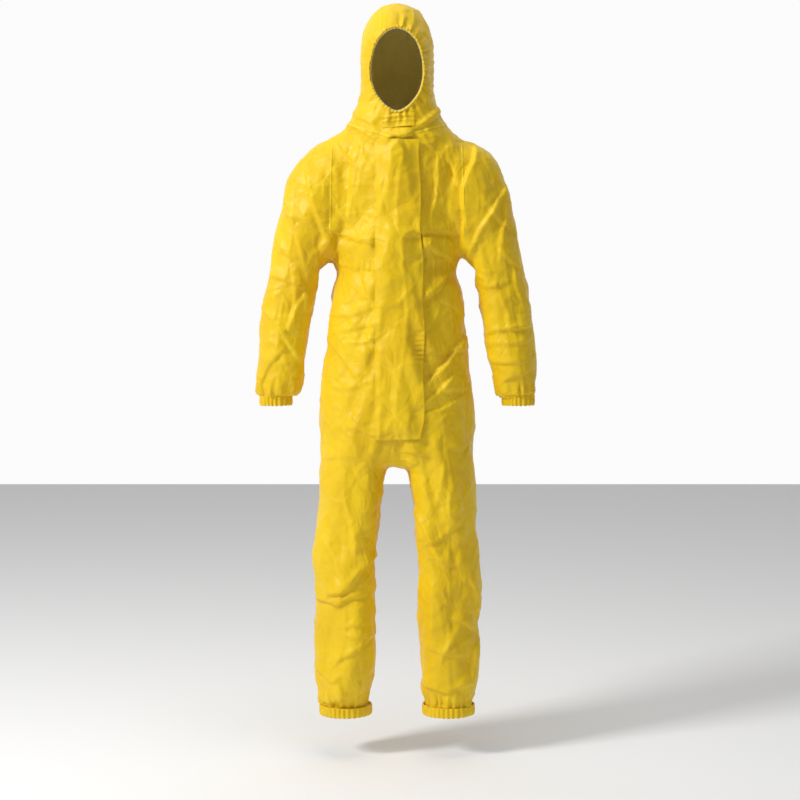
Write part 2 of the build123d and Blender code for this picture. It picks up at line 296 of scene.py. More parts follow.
def first_folds(obj):
    """Large folds that the fabric keeps: the bloused waist and crumpled facets at the bends."""
    p, n = coords(obj), normals(obj)
    x, y, z = p.T
    trunk = np.abs(x) < 0.19
    lift = 0.012 * bell(z, -0.238, 0.020) * trunk - 0.012 * bell(z, -0.300, 0.024) * trunk
    lift *= 1.0 - 0.75 * (y < -0.08) * (np.abs(x) < 0.06)
    body = smooth_step(-z, -0.10, 0.05)
    bends = 0.5 + 0.6 * bell(z, -0.37, 0.10) * (np.abs(x) > 0.2)
    bends = bends + 0.6 * bell(z, -1.05, 0.10) + 0.7 * bell(z, -1.30, 0.06)
    large = facets(p, 0.130, SEED, (1.0, 0.8, 0.62))
    medium = facets(p, 0.062, SEED + 1, (0.9, 0.9, 1.25))
    lift += body * (0.30 * (large - 0.020) + 0.42 * np.clip(bends - 0.5, 0, 1) * (medium - 0.009))
    set_coords(obj, p + n * lift[:, None])


# ---------------------------------------------------------------- cloth simulation
FRAMES = 26
LOOSENESS = -0.045
MOST_MOVED = 0.020
SOFTENING = 7


def averaged(mesh, field, passes):
    """A field on the points, smoothed over their neighbours."""
    ends = np.empty(len(mesh.edges) * 2, dtype=np.int64)
    mesh.edges.foreach_get("vertices", ends)
    a, b = ends.reshape(-1, 2).T
    count = np.bincount(a, minlength=len(field)) + np.bincount(b, minlength=len(field))
    for _ in range(passes):
        total = np.zeros_like(field)
        np.add.at(total, a, field[b])
        np.add.at(total, b, field[a])
        field = 0.5 * field + 0.5 * total / count[:, None]
    return field


def hem_distance(p):
    """Distance of each point from the nearest elastic edge."""
    x, y, z = p.T
    wrist = np.where(np.abs(x) > 0.21, np.abs(z - WRIST_TOP), 1.0)
    ankle = np.abs(z - ANKLE_TOP)
    outline = face_outline(200)
    front = p[:, 1] < 0.0
    face = np.ones(len(p))
    near = np.where(front & (z > 0.0))[0]
    gap = np.sqrt(((p[near][:, None, [0, 2]] - outline[None]) ** 2).sum(2)).min(1)
    face[near] = gap
    return wrist, ankle, face


def simulate(garment):
    """Drapes the loose garment over a form that fills it, and keeps how far each point may move."""
    form = union_mesh("form", (0.022, 0.007, 0.020, 0.022), 0.014)
    form.modifiers.new("Collision", "COLLISION")
    form.collision.thickness_outer = 0.002
    form.collision.cloth_friction = 12.0
    rest = coords(garment)
    wrist, ankle, face = hem_distance(rest)
    held = np.maximum.reduce([bell(wrist, 0, 0.010), bell(ankle, 0, 0.010), bell(face, 0, 0.008)])
    zip_strip = (rest[:, 1] < -0.06) * (rest[:, 2] < 0.02) * (rest[:, 2] > ZIP_BOTTOM - 0.02)
    held = np.maximum(held, zip_strip * (1 - smooth_step(np.abs(rest[:, 0]), 0.010, 0.022)))
    group = garment.vertex_groups.new(name="held")
    for index in np.where(held > 0.05)[0]:
        group.add([int(index)], float(min(held[index], 1.0)), "REPLACE")
    cloth = garment.modifiers.new("Cloth", "CLOTH")
    values = cloth.settings
    values.quality, values.mass, values.time_scale = 5, 0.18, 1.0
    values.tension_stiffness = values.compression_stiffness = 18.0
    values.shear_stiffness, values.bending_stiffness = 6.0, 0.12
    values.tension_damping = values.compression_damping = 6.0
    values.bending_damping, values.air_damping = 0.3, 1.5
    values.shrink_min = LOOSENESS
    values.vertex_group_mass, values.pin_stiffness = "held", 1.0
    values.effector_weights.gravity = 0.8
    cloth.collision_settings.use_collision = True
    cloth.collision_settings.distance_min = 0.003
    cloth.collision_settings.use_self_collision = False
    scene = bpy.context.scene
    for number in range(1, FRAMES + 1):
        scene.frame_set(number)
    bake_modifiers(garment)
    scene.frame_set(1)
    moved = coords(garment) - rest
    moved = averaged(garment.data, moved, SOFTENING)
    size = np.linalg.norm(moved, axis=1, keepdims=True) + 1e-9
    moved *= MOST_MOVED * np.tanh(size / MOST_MOVED) / size
    strip = zip_strip * (1 - smooth_step(np.abs(rest[:, 0]), 0.012, 0.045))
    moved *= 1 - strip[:, None]
    set_coords(garment, rest + moved)
    bpy.data.objects.remove(form)


# ---------------------------------------------------------------- detail on the draped skin
def random_lines(count, rng):
    """Unit directions and phases for a sum of waves."""
    turn = rng.uniform(0, math.pi, count)
    tilt = rng.uniform(-0.9, 0.9, count)
    return np.column_stack([np.cos(turn), np.sin(turn), tilt]), rng.uniform(0, 6.28, count)


def gathers(p, amount, angle, count, rng):
    """Uneven pleats round an elastic edge."""
    drift = 0.6 * np.sin(3 * angle + rng.uniform(0, 6)) + 0.4 * np.sin(7 * angle + rng.uniform(0, 6))
    return amount * (np.sin(count * angle + 2.2 * drift) + 0.5 * np.sin(1.7 * count * angle + 1.3 * drift))


def ridge(distance, width):
    """A sharp crease: a soft tent across the line."""
    return np.maximum(0.0, 1.0 - np.abs(distance) / width) ** 1.6


PACK_LINES = (-0.115, -0.418, -0.560, -0.905, -1.120)      # heights of the horizontal packing creases


# Folds of the front, each a ledge along a line: from X, Z to X, Z, height and reach in mm. A positive
# ledge is raised on the left of its direction, and a negative one is raised on the right.
LEDGES = (
    (-0.044, -0.256, -0.163, -0.218, -5, 26), (0.135, -0.223, 0.002, -0.230, -5, 20),
    (-0.044, -0.314, -0.156, -0.295, -2, 9), (0.135, -0.290, 0.058, -0.300, -2, 9),
    (0.005, -0.223, 0.007, -0.293, 3.5, 14), (0.007, -0.293, 0.030, -0.346, 3.5, 12),
    (0.030, -0.346, -0.009, -0.393, 3.5, 10), (-0.005, -0.439, -0.133, -0.453, -3, 14),
    (-0.044, -0.470, -0.109, -0.488, -3, 12), (-0.072, -0.456, -0.040, -0.511, 3, 10),
    (-0.040, -0.498, 0.012, -0.586, 3, 12), (-0.081, -0.330, -0.049, -0.407, 3, 14),
    (0.060, -0.384, 0.128, -0.321, 5, 22), (0.065, -0.453, 0.102, -0.414, 3, 12),
    (0.063, -0.579, 0.172, -0.453, -5.5, 24), (0.063, -0.619, 0.140, -0.546, -4, 16),
    (0.063, -0.646, 0.151, -0.609, -3.5, 16), (-0.163, -0.481, -0.049, -0.616, 3.5, 22),
    (-0.026, -0.702, -0.121, -0.684, -3.5, 18), (-0.121, -0.684, -0.095, -0.744, 3, 12),
    (-0.161, -0.144, -0.107, -0.202, 3, 14), (-0.137, -0.009, -0.102, -0.069, 2.5, 16),
    (0.093, -0.055, 0.077, -0.186, 3.5, 18), (0.112, -0.051, 0.154, -0.128, 3.5, 16),
    (0.154, -0.121, 0.151, -0.237, 5, 22), (0.179, -0.028, 0.156, -0.121, 5, 20),
    (0.077, -0.253, 0.128, -0.295, 3, 12), (0.063, -0.265, 0.086, -0.237, 3, 8),
    (-0.144, -0.423, -0.044, -0.402, 2, 16), (0.065, -0.586, 0.191, -0.595, 2, 14),
    (-0.144, -0.593, -0.049, -0.574, 2, 14), (0.100, -0.381, 0.165, -0.423, 2.5, 16),
    (-0.105, -0.032, -0.112, -0.209, 2, 24), (0.077, -0.502, 0.179, -0.502, 2.5, 18),
    (-0.214, -0.083, -0.172, -0.242, 4, 18), (-0.265, -0.144, -0.223, -0.293, 4, 20),
    (-0.286, -0.244, -0.233, -0.295, 3, 14), (-0.223, -0.351, -0.314, -0.325, -4, 18),
    (-0.249, -0.293, -0.242, -0.432, 3, 14), (-0.316, -0.407, -0.228, -0.523, 4, 18),
    (-0.247, -0.502, -0.309, -0.484, -3, 14), (-0.223, -0.363, -0.261, -0.453, 3, 14),
    (-0.323, -0.581, -0.270, -0.498, 3, 14), (-0.226, -0.463, -0.268, -0.451, -3, 12),
    (-0.261, -0.183, -0.198, -0.209, 2.5, 14), (0.254, -0.102, 0.168, -0.270, 4.5, 20),
    (0.247, -0.144, 0.240, -0.279, 3.5, 16), (0.312, -0.314, 0.240, -0.276, -3, 16),
    (0.191, -0.293, 0.214, -0.325, 3, 10), (0.323, -0.437, 0.214, -0.465, -4, 16),
    (0.312, -0.477, 0.219, -0.491, -3, 12), (0.291, -0.535, 0.219, -0.525, -3.5, 14),
    (0.240, -0.372, 0.265, -0.453, 3, 14), (0.249, -0.581, 0.314, -0.542, 3, 14),
    (0.207, -0.160, 0.275, -0.232, 3, 18), (0.268, -0.293, 0.291, -0.393, 2.5, 14),
    (0.202, -0.353, 0.268, -0.342, 2.5, 12), (-0.081, -0.749, -0.181, -0.760, -2, 12),
    (-0.060, -0.874, -0.023, -0.833, 3, 16), (-0.123, -0.842, -0.102, -0.991, 2.5, 20),
    (-0.170, -0.949, -0.116, -1.061, 3.5, 18), (-0.119, -1.061, -0.049, -0.986, 6, 24),
    (-0.158, -1.086, -0.119, -1.061, 6, 22), (-0.142, -1.103, -0.200, -1.093, -5.5, 22),
    (-0.079, -1.077, -0.142, -1.103, -5, 20), (-0.067, -1.149, -0.133, -1.154, -3, 10),
    (-0.056, -1.182, -0.121, -1.175, -3, 12), (-0.140, -1.235, -0.058, -1.184, 4, 18),
    (-0.144, -1.251, -0.119, -1.196, 3, 10), (-0.154, -1.289, -0.200, -1.265, -6, 20),
    (-0.130, -1.277, -0.154, -1.289, -4, 10), (-0.128, -1.324, -0.133, -1.275, 3, 12),
    (-0.091, -1.326, -0.091, -1.284, 3, 12), (-0.121, -1.331, -0.186, -1.342, -3, 10),
    (-0.074, -0.921, -0.044, -0.893, 2.5, 12), (-0.175, -1.000, -0.142, -1.019, 3, 12),
    (0.040, -0.888, 0.102, -0.993, 5, 22), (0.019, -0.730, 0.102, -0.760, 3, 14),
    (0.102, -0.760, 0.095, -0.851, 3, 16), (0.170, -0.721, 0.123, -0.735, -2.5, 12),
    (0.151, -0.874, 0.149, -0.795, 3, 18), (0.161, -0.895, 0.063, -0.968, -2.5, 24),
    (0.175, -1.051, 0.195, -1.140, 3.5, 16), (0.102, -1.109, 0.126, -1.091, 3, 8),
    (0.100, -1.065, 0.116, -1.116, 3, 8), (0.195, -1.175, 0.135, -1.135, -3.5, 16),
    (0.191, -1.172, 0.175, -1.289, 4, 18), (0.109, -1.244, 0.151, -1.147, 3.5, 16),
    (0.123, -1.312, 0.044, -1.307, -4, 16), (0.186, -1.291, 0.123, -1.312, -4, 16),
    (0.072, -0.986, 0.170, -1.019, 2, 16), (0.119, -0.800, 0.123, -0.893, 2.5, 18),
    (0.065, -1.207, 0.170, -1.230, 2.5, 18), (0.081, -1.056, 0.072, -1.196, 2.5, 20),
    (-0.030, -0.016, -0.119, 0.021, -5, 20), (0.037, 0.005, -0.019, -0.016, -5, 18),
    (0.102, 0.059, 0.035, 0.005, -4, 16), (-0.056, 0.019, -0.109, 0.063, -3, 14),
    (0.102, 0.087, 0.051, 0.024, 3, 14), (-0.079, 0.177, -0.070, 0.089, 2, 12),
    (0.079, 0.182, 0.070, 0.089, -2, 12), (-0.049, 0.261, -0.067, 0.219, 2, 10),
    (0.063, 0.256, 0.077, 0.214, 2, 10), (0.054, 0.019, 0.095, -0.009, 3, 12),
    (0.040, 0.000, 0.086, -0.032, 2.5, 12),
)


LEDGE_SCALE = 0.0021


def ledges(rest, flip=1.0):
    """Lift of every ledge on one face of the garment; flip -1 gives the back other places."""
    x, y, z = rest.T
    lift = np.zeros(len(rest))
    side = 1 - smooth_step(y, -0.035, 0.0) if flip > 0 else smooth_step(y, 0.0, 0.035)
    for x0, z0, x1, z1, height, reach in LEDGES:
        if flip < 0:
            x0, x1, z0, z1, height = -x0, -x1, z0 + 0.035, z1 + 0.035, -height * 0.8
        reach *= 0.001
        length = math.hypot(x1 - x0, z1 - z0)
        ux, uz = (x1 - x0) / length, (z1 - z0) / length
        along = ((x - x0) * ux + (z - z0) * uz) / length
        across = -(x - x0) * uz + (z - z0) * ux
        sway = 0.0035 * np.sin(along * 5 + x0 * 90)
        across = (across + sway) * np.sign(height)
        ends = smooth_step(along, -0.22, 0.25) * (1 - smooth_step(along, 0.75, 1.22))
        upper = 0.5 * (1 + np.tanh(across / 0.0032))
        away = np.abs(across)
        fall = upper * np.exp(-away / reach) - 0.45 * (1 - upper) * np.exp(-away / (0.5 * reach))
        lift += LEDGE_SCALE * abs(height) * ends * fall
    return lift * side


def fine_folds(obj, rest):
    """Gathers at the elastics and the sharp creases left by folding for the packet."""
    rng = np.random.default_rng(SEED)
    p, n = coords(obj), normals(obj)
    x, y, z = rest.T
    wrist, ankle, face = hem_distance(rest)
    lift = np.zeros(len(p))
    for side in (1, -1):
        near = (side * x > 0.21) & (z > WRIST_TOP - 0.03)
        angle = np.arctan2(y, side * x - WRIST_X)
        lift += near * gathers(p, 0.0024, angle, 13, rng) * bell(wrist, 0.006, 0.030)
        low = (side * x > 0.0) & (z < -1.2)
        angle = np.arctan2(y - ANKLE_Y, side * x - ANKLE_X)
        lift += low * gathers(p, 0.0026, angle, 18, rng) * bell(ankle, 0.006, 0.034)
    tucked = np.maximum(bell(wrist, 0, 0.006), bell(ankle, 0, 0.006))
    lift = lift * (1 - tucked) - 0.0026 * tucked
    angle = np.arctan2(z - FACE_MIDDLE, x)
    round_face = bell(face, 0.008, 0.019) * (y < 0.02) * (1 + 0.4 * np.sign(x))
    lift += gathers(p, 0.0018, angle, 31, rng) * round_face
    beside_flap = np.maximum(y > 0.0, smooth_step(np.abs(x), 0.050, 0.075))
    waist = bell(z, -0.297, 0.016) * (np.abs(x) < 0.19) * beside_flap
    lift += gathers(p, 0.0017, np.arctan2(y, x), 46, rng) * waist
    lift += ledges(rest) + ledges(rest, -1.0)
    for level in PACK_LINES:
        bent = z - level - 0.004 * np.sin(x * 11 + level * 40)
        lift += 0.0012 * ridge(bent, 0.006) * (0.6 + 0.4 * np.sin(y * 30 + level * 9))
    for centre in (0.262, -0.262):
        slant = 0.16 * (z + 0.35) * np.sign(centre) * -0.9
        lift += 0.0012 * ridge(x - centre - slant, 0.006) * (z > WRIST_TOP) * (z < -0.2)
    for centre in (0.122, -0.122):
        lift += 0.0013 * ridge(x - centre, 0.006) * (z < -0.80) * (y < 0)
    lines, phases = random_lines(10, rng)
    for line, phase, length in zip(lines, phases, np.linspace(0.045, 0.11, 10)):
        fold = 1 - np.abs(np.sin((rest @ line) * math.pi / length + phase + 0.5 * np.sin(z * 21 + phase)))
        lift += 0.0010 * fold ** 5
    set_coords(obj, p + n * lift[:, None])


def make_garment():
    """The whole draped skin, subdivided, with its resting coordinates."""
    garment = union_mesh("garment", (0.0, 0.0, 0.0, 0.0), VOXEL)
    cut_openings(garment)
    first_folds(garment)
    simulate(garment)
    finer = garment.modifiers.new("finer", "SUBSURF")
    finer.levels = finer.render_levels = 1
    bake_modifiers(garment)
    rest = coords(garment).copy()
    fine_folds(garment, rest)
    shade_smooth(garment)
    return garment, rest


# ---------------------------------------------------------------- materials
def material(name, colour, roughness):
    """A Principled material with its constants set on the shader's own sockets."""
    made = bpy.data.materials.new(name)
    made.use_nodes = True
    shader = made.node_tree.nodes["Principled BSDF"]
    shader.inputs["Base Color"].default_value = (*colour, 1)
    shader.inputs["Roughness"].default_value = roughness
    return made, made.node_tree, shader


def node(tree, kind, inputs=(), **settings):
    made = tree.nodes.new(kind)
    for key, value in settings.items():
        setattr(made, key, value)
    for key, value in dict(inputs).items():
        if isinstance(value, bpy.types.NodeSocket):
            tree.links.new(value, made.inputs[key])
        else:
            made.inputs[key].default_value = value
    return made


def noise(tree, vector, scale, detail=4.0, roughness=0.55, distortion=0.0):
    made = node(tree, "ShaderNodeTexNoise", {"Vector": vector, "Scale": scale, "Detail": detail,
                                             "Roughness": roughness, "Distortion": distortion})
    return made.outputs["Fac"]


def ramp(tree, factor, stops):
    made = node(tree, "ShaderNodeValToRGB", {"Fac": factor})
    band = made.color_ramp
    while len(band.elements) < len(stops):
        band.elements.new(0.5)
    for element, (place, colour) in zip(band.elements, stops):
        element.position, element.color = place, (*colour, 1)
    return made.outputs["Color"]


def bump(tree, height, strength, distance, previous=None):
    inputs = {"Height": height, "Strength": strength, "Distance": distance}
    if previous is not None:
        inputs["Normal"] = previous
    return node(tree, "ShaderNodeBump", inputs).outputs["Normal"]


def object_space(tree):
    return node(tree, "ShaderNodeTexCoord").outputs["Object"]


def laminate(name, deep, pale, roughness=0.40):
    """Film laminate: saturated satin film with crumpled facets, and the fine emboss of the fibres behind."""
    made, tree, shader = material(name, pale, roughness)
    place = object_space(tree)
    broad = noise(tree, place, 7.0, 5.0, 0.6, 0.6)
    colour = ramp(tree, broad, [(0.30, deep), (0.68, pale)])
    tree.links.new(colour, shader.inputs["Base Color"])
    gloss = node(tree, "ShaderNodeMapRange", {"Value": noise(tree, place, 34.0, 6.0, 0.65),
                                              "From Min": 0.3, "From Max": 0.7,
                                              "To Min": roughness - 0.07, "To Max": roughness + 0.12})
    tree.links.new(gloss.outputs["Result"], shader.inputs["Roughness"])
    drift = node(tree, "ShaderNodeTexNoise", {"Vector": place, "Scale": 9.0}).outputs["Color"]
    bent = node(tree, "ShaderNodeMix", {"Factor": 0.10, "A": place, "B": drift},
                data_type="VECTOR").outputs["Result"]
    tall = node(tree, "ShaderNodeMapping", {"Vector": bent, "Scale": (1.0, 1.0, 0.6),
                                            "Rotation": (0.3, 0.2, 0.0)}).outputs["Vector"]
    planes, facets, small = (
        node(tree, "ShaderNodeTexVoronoi", {"Vector": vector, "Scale": scale},
             feature="DISTANCE_TO_EDGE").outputs["Distance"]
        for vector, scale in ((tall, 9.0), (bent, 20.0), (tall, 46.0)))
    fibres = noise(tree, place, 900.0, 3.0, 0.7)
    emboss = node(tree, "ShaderNodeTexVoronoi", {"Vector": place, "Scale": 620.0}).outputs["Distance"]
    normal = bump(tree, planes, 0.50, 0.028)
    normal = bump(tree, facets, 0.40, 0.014, normal)
    normal = bump(tree, small, 0.22, 0.006, normal)
    normal = bump(tree, fibres, 0.10, 0.0006, normal)
    normal = bump(tree, emboss, 0.10, 0.0005, normal)
    tree.links.new(normal, shader.inputs["Normal"])
    shader.inputs["Specular IOR Level"].default_value = 0.33
    shader.inputs["Sheen Weight"].default_value = 0.05
    return made


def ribbed(name, colour, dark, scale, roughness=0.6):
    """Woven or knitted tape: fine ribs crossed by a thread noise."""
    made, tree, shader = material(name, colour, roughness)
    place = object_space(tree)
    ribs = node(tree, "ShaderNodeTexWave", {"Vector": place, "Scale": scale, "Distortion": 1.5, "Detail": 2.0},
                bands_direction="DIAGONAL").outputs["Fac"]
    grain = noise(tree, place, 420.0, 4.0, 0.7)
    tree.links.new(ramp(tree, grain, [(0.25, dark), (0.75, colour)]), shader.inputs["Base Color"])
    normal = bump(tree, ribs, 0.35, 0.0008)
    tree.links.new(bump(tree, grain, 0.25, 0.0006, normal), shader.inputs["Normal"])
    shader.inputs["Sheen Weight"].default_value = 0.2
    return made


def moulded(name, colour, dark, roughness, metallic=0.0):
    """Moulded plastic or enamel with faint flow marks and a fine grain."""
    made, tree, shader = material(name, colour, roughness)
    place = object_space(tree)
    flow = noise(tree, place, 160.0, 5.0, 0.6, 0.4)
    tree.links.new(ramp(tree, flow, [(0.2, dark), (0.8, colour)]), shader.inputs["Base Color"])
    tree.links.new(bump(tree, noise(tree, place, 700.0, 3.0), 0.12, 0.0004), shader.inputs["Normal"])
    shader.inputs["Metallic"].default_value = metallic
    return made


YELLOW = laminate("laminate_outside", (0.78, 0.495, 0.002), (0.86, 0.585, 0.004), 0.47)
INSIDE = laminate("laminate_inside", (0.80, 0.66, 0.20), (0.86, 0.74, 0.28), 0.62)
SEAM = laminate("laminate_seam", (0.80, 0.55, 0.006), (0.88, 0.64, 0.012), 0.44)
CREAM = ribbed("elastic_cover", (0.84, 0.80, 0.60), (0.72, 0.66, 0.44), 700.0)
ZIP_TAPE = ribbed("zip_tape", (0.85, 0.62, 0.02), (0.72, 0.50, 0.015), 900.0)
ZIP_COIL = moulded("zip_coil", (0.86, 0.62, 0.02), (0.74, 0.52, 0.015), 0.35)
ZIP_METAL = moulded("zip_enamel", (0.84, 0.60, 0.02), (0.70, 0.48, 0.02), 0.28, 0.25)
PAPER = ribbed("release_paper", (0.86, 0.84, 0.76), (0.80, 0.78, 0.70), 300.0, 0.5)
LABEL = ribbed("label_weave", (0.90, 0.90, 0.88), (0.82, 0.82, 0.80), 800.0, 0.7)


# ---------------------------------------------------------------- cutting the skin into sewn pieces
THICKNESS = 0.0009


def armhole_x(z):
    return np.interp(z, (-0.70, -0.25, -0.236, 0.10), (0.208, 0.162, 0.156, 0.150))


def neck_height(x, y):
    """Height of the seam between trunk and hood: a V at the front, level at the back."""
    dip = 0.040 * (1 - np.clip(abs(x) / 0.120, 0, 1)) * smooth_step(-y, 0.0, 0.06)
    return 0.031 - dip


def piece_of(c):
    """The name of the sewn piece that a face belongs to, from where its centre rests."""
    x, y, z = c
    side = "left" if x > 0 else "right"
    if z < -0.768 and abs(x) > 0.024 or z < -0.80:
        return f"{side}_shin" if z < -0.93 else f"{side}_thigh"
    if abs(x) > armhole_x(z) and z < 0.02:
        return f"{side}_lower_sleeve" if z < -0.335 else f"{side}_upper_sleeve"
    if z > neck_height(x, y) and abs(x) < 0.135:
        if abs(x) < 0.038 and (z > 0.10 or y > 0):
            return "hood_crown"
        return f"hood_{side}_side"
    if abs(x) < 0.036 and z < -0.70:
        return "crotch_gusset"
    if y > 0:
        return "trunk_back"
    return f"trunk_front_{side}"


def split_garment(garment, skin_normals):
    """Every sewn piece as its own double-sided mesh, sharing its edge points and normals."""
    mesh = garment.data
    points = coords(garment)
    centres = np.empty(len(mesh.polygons) * 3)
    mesh.polygons.foreach_get("center", centres)
    names = [piece_of(c) for c in centres.reshape(-1, 3)]
    groups = {}
    for polygon, name in zip(mesh.polygons, names):
        groups.setdefault(name, []).append(tuple(polygon.vertices))
    pieces = {}
    for name, faces in groups.items():
        pieces[name] = thick_piece(f"suit_{name}", points, skin_normals, faces)
    return pieces


def thick_piece(name, points, skin_normals, faces, outer=None, inner=None, thickness=THICKNESS):
    """A sheet with an outer face, a paler inner face and a rim along its open edges."""
    used = sorted({i for f in faces for i in f})
    index = {old: new for new, old in enumerate(used)}
    top = points[used]
    below = top - skin_normals[used] * thickness
    local = [tuple(index[i] for i in f) for f in faces]
    count = len(used)
    edges = {}
    for f in local:
        for a, b in zip(f, f[1:] + f[:1]):
            edges[(a, b)] = edges.get((a, b), 0) + 1
    rim = [(b, a, a + count, b + count) for (a, b) in edges if (b, a) not in edges]
    every = local + [tuple(i + count for i in f[::-1]) for f in local] + rim
    obj = new_object(name, np.vstack([top, below]), every)
    obj.data.materials.append(outer or YELLOW)
    obj.data.materials.append(inner or INSIDE)
    kinds = np.zeros(len(every), dtype=np.int32)
    kinds[len(local):2 * len(local)] = 1
    obj.data.polygons.foreach_set("material_index", kinds)
    shade_smooth(obj)
    both = np.vstack([skin_normals[used], -skin_normals[used]])
    obj.data.normals_split_custom_set_from_vertices([tuple(v) for v in both])
    return obj


# ---------------------------------------------------------------- strips and patches laid on the skin
def surface_tree(garment):
    mesh = bmesh.new()
    mesh.from_mesh(garment.data)
    tree = BVHTree.FromBMesh(mesh)
    mesh.free()
    return tree


def cast(tree, origin, direction, fallback):
    hit = tree.ray_cast(Vector(origin), Vector(direction))[0]
    return np.array(hit) if hit is not None else np.array(fallback)


def grid_faces(rows, columns, closed=False):
    faces = []
    for r in range(rows - 1):
        for c in range(columns if closed else columns - 1):
            d = (c + 1) % columns
            faces.append((r * columns + c, r * columns + d, (r + 1) * columns + d, (r + 1) * columns + c))
    return faces


def closing_faces(rows, columns):
    """Joins the last row of a closed grid to its first."""
    last = (rows - 1) * columns
    return [(last + c, last + (c + 1) % columns, (c + 1) % columns, c) for c in range(columns)]


def sheet_grid(name, points, rows, columns, outer, inner, thickness):
    """A thin double-sided sheet from a grid of points."""
    faces = grid_faces(rows, columns)
    probe = new_object("probe", points, faces)
    skin_normals = normals(probe).copy()
    bpy.data.objects.remove(probe)
    return thick_piece(name, np.array(points), skin_normals, faces, outer, inner, thickness)


def front_depth(tree, x, z):
    return cast(tree, (x, -1.0, z), (0, 1, 0), (x, -0.12, z))[1]


def blurred(field, passes):
    for _ in range(passes):
        field = np.pad(field, 1, mode="edge")
        middle = field[1:-1, 1:-1]
        field = (middle * 2 + field[:-2, 1:-1] + field[2:, 1:-1] + field[1:-1, :-2] + field[1:-1, 2:]) / 6
    return field


def build_storm_flap(tree):
    """The long welded flap, following the folds under it, with a puckered free edge."""
    left, right = FLAP_LOW[0], FLAP_HIGH[0]
    low, high = FLAP_LOW[2], FLAP_HIGH[2]
    columns, rows = 40, 220
    xs, zs = np.linspace(0, 1, columns), np.linspace(0, 1, rows)
    x_grid = np.empty((rows, columns))
    z_grid = np.empty((rows, columns))
    for r, t in enumerate(zs):
        z = low + (high - low) * t
        free = right - 0.010 * smooth_step(z, -0.45, -0.05) + 0.002 * math.sin(z * 37)
        free -= 0.006 * smooth_step(-z, 0.66, 0.706)
        x_grid[r] = left + (free - left) * xs
        z_grid[r] = z + 0.004 * xs * math.sin(3.0 * t + 0.5)
    depth = np.array([[front_depth(tree, x, z) for x, z in zip(xr, zr)] for xr, zr in zip(x_grid, z_grid)])
    soft = np.minimum(blurred(depth, 6), depth)
    soft = blurred(soft, 3)
    edge = smooth_step(x_grid, left, left + 0.014)
    pucker = 0.0022 * np.sin(z_grid * 2 * math.pi / 0.011) * bell(z_grid, -0.495, 0.045)
    pucker = pucker * smooth_step(x_grid, right - 0.034, right - 0.004)
    ridge_x = 0.012 + 0.012 * np.sin(z_grid * 13 + 0.6)
    zip_ridge = 0.0016 * bell(x_grid, ridge_x, 0.006) * (z_grid < -0.08)
    wavy = 0.0016 * np.sin(z_grid * 46 + x_grid * 30) * smooth_step(x_grid, 0.0, right)
    cover = soft - 0.0018 - 0.0046 * edge - pucker - zip_ridge - wavy
    clear = min(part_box("zip_slider")[0][1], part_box("zip_pull")[0][1]) - 0.0022
    over_slider = smooth_step(bell(x_grid, 0.0, 0.018) * bell(z_grid, -0.046, 0.034), 0.15, 0.55)
    cover = cover * (1 - over_slider) + np.minimum(cover, clear) * over_slider
    cover = np.maximum(cover, CAD_BOX[0][1] - 0.004)
    points = np.column_stack([x_grid.ravel(), cover.ravel(), z_grid.ravel()])
    flap = sheet_grid("storm_flap_cover", points, rows, columns, YELLOW, INSIDE, 0.0012)
    return flap, cover, x_grid, z_grid


def ribbon(name, centre_points, across, half_width, lift, outer, thickness=0.0006):
    """A narrow welded strip along a line of points, lying on the skin."""
    centre_points, across, lift = map(np.asarray, (centre_points, across, lift))
    rows = len(centre_points)
    steps = np.linspace(-1, 1, 5)
    crown = 1 - 0.6 * steps ** 2
    points = [centre + a * half_width * s + l * c for centre, a, l in zip(centre_points, across, lift)
              for s, c in zip(steps, crown)]
    return sheet_grid(name, points, rows, 5, outer, outer, thickness)


garment, rest = make_garment()
skin_normals = normals(garment).copy()
tree = surface_tree(garment)
pieces = split_garment(garment, skin_normals)
bpy.data.objects.remove(garment)

REPLACED = {
    "trunk_front_left": ["front_left_panel", "side_seam_tape_left"],
    "trunk_front_right": ["front_right_panel", "side_seam_tape_right"],
    "trunk_back": ["back_panel"],
    "crotch_gusset": ["crotch_gusset"],
    "hood_crown": ["hood_centre_panel", "neck_fold_back"],
    "hood_left_side": ["hood_left_panel", "neck_fold_front"],
    "hood_right_side": ["hood_right_panel"],
}
for side in ("left", "right"):
    REPLACED[f"{side}_upper_sleeve"] = [f"{side}_upper_sleeve", f"{side}_shoulder_fold"]
    REPLACED[f"{side}_lower_sleeve"] = [f"{side}_forearm_sleeve", f"{side}_elbow_fold"]
    REPLACED[f"{side}_thigh"] = [f"{side}_thigh", f"{side}_hip_fold"]
    REPLACED[f"{side}_shin"] = [f"{side}_shin", f"{side}_knee_fold"]


def attach_skin():
    """Binds the trunk pieces to the root body, bakes the other pieces in place and hides the parts they
    replace.
    """
    for name in ("trunk_front_left", "trunk_front_right", "trunk_back", "crotch_gusset"):
        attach(pieces[name], "root")
    for name in ("hood_crown", "hood_left_side", "hood_right_side"):
        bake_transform(pieces[name])
    for side, s in (("left", 1), ("right", -1)):
        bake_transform(pieces[f"{side}_upper_sleeve"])
        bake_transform(pieces[f"{side}_lower_sleeve"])
        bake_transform(pieces[f"{side}_thigh"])
        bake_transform(pieces[f"{side}_shin"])
    for name, nodes in REPLACED.items():
        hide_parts(*nodes)


attach_skin()
flap, flap_depth, flap_x, flap_z = build_storm_flap(tree)
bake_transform(flap)
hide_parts("storm_flap")


# ---------------------------------------------------------------- trims
def finish_trim(obj, zone, slot, *nodes):
    """Binds a trim like the skin that it lies on, and hides the parts that it replaces."""
    if zone == "hood_skin":
        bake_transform(obj)
    elif zone == "flap":
        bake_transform(obj)
    else:
        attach(obj, zone)
    if nodes:
        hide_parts(*nodes)
    return obj


